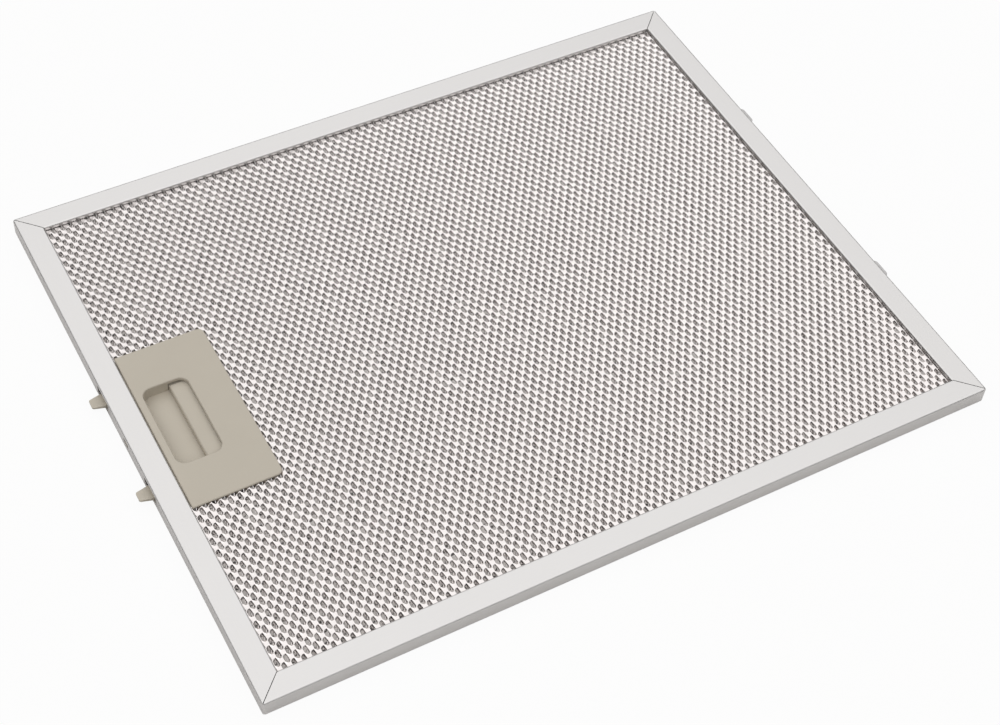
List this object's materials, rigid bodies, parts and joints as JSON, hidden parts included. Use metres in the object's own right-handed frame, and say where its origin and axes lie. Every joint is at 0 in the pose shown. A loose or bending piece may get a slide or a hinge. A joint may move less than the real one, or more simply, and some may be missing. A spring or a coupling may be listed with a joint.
{
  "type": "cooker hood grease filter",
  "caption": "Flat rectangular grease filter: layered expanded aluminium in a folded frame, with a sprung finger latch whose tongues hold it in a cooker hood.",
  "frame": {"origin": "middle of the frame on the plane of its lower face, the back that it lies on", "axes": "+X along the long side from the latch to the fixed lugs, +Y across, +Z out of the visible face"},
  "size_m": [0.3295, 0.26, 0.0079],
  "materials": {
    "frame_aluminium": "satin",
    "mesh_aluminium": "bright",
    "mat_aluminium": "dull",
    "latch_plastic": "fine matt",
    "spring_steel": "drawn",
    "lug_steel": "zinc plated"
  },
  "bodies": {
    "filter": {"frame": "frame_aluminium", "face_mesh": "mesh_aluminium", "inner_mat_3": "mat_aluminium", "inner_mat_2": "mat_aluminium", "inner_mat_1": "mat_aluminium", "back_mesh": "mesh_aluminium", "latch_housing": "latch_plastic", "latch_cover": "latch_plastic", "latch_spring_far": "spring_steel", "latch_spring_near": "spring_steel", "locating_lug_far": "lug_steel", "locating_lug_near": "lug_steel"},
    "slider": {"latch_slider": "latch_plastic"}
  },
  "joints": [
    {"name": "latch_slide", "type": "slide", "parent": "filter", "child": "slider", "axis": [1, 0, 0], "range_m": [0, 0.0052], "stiffness_N_per_m": 500, "springref_m": -0.004, "deforming": ["latch_spring_far", "latch_spring_near"]}
  ]
}
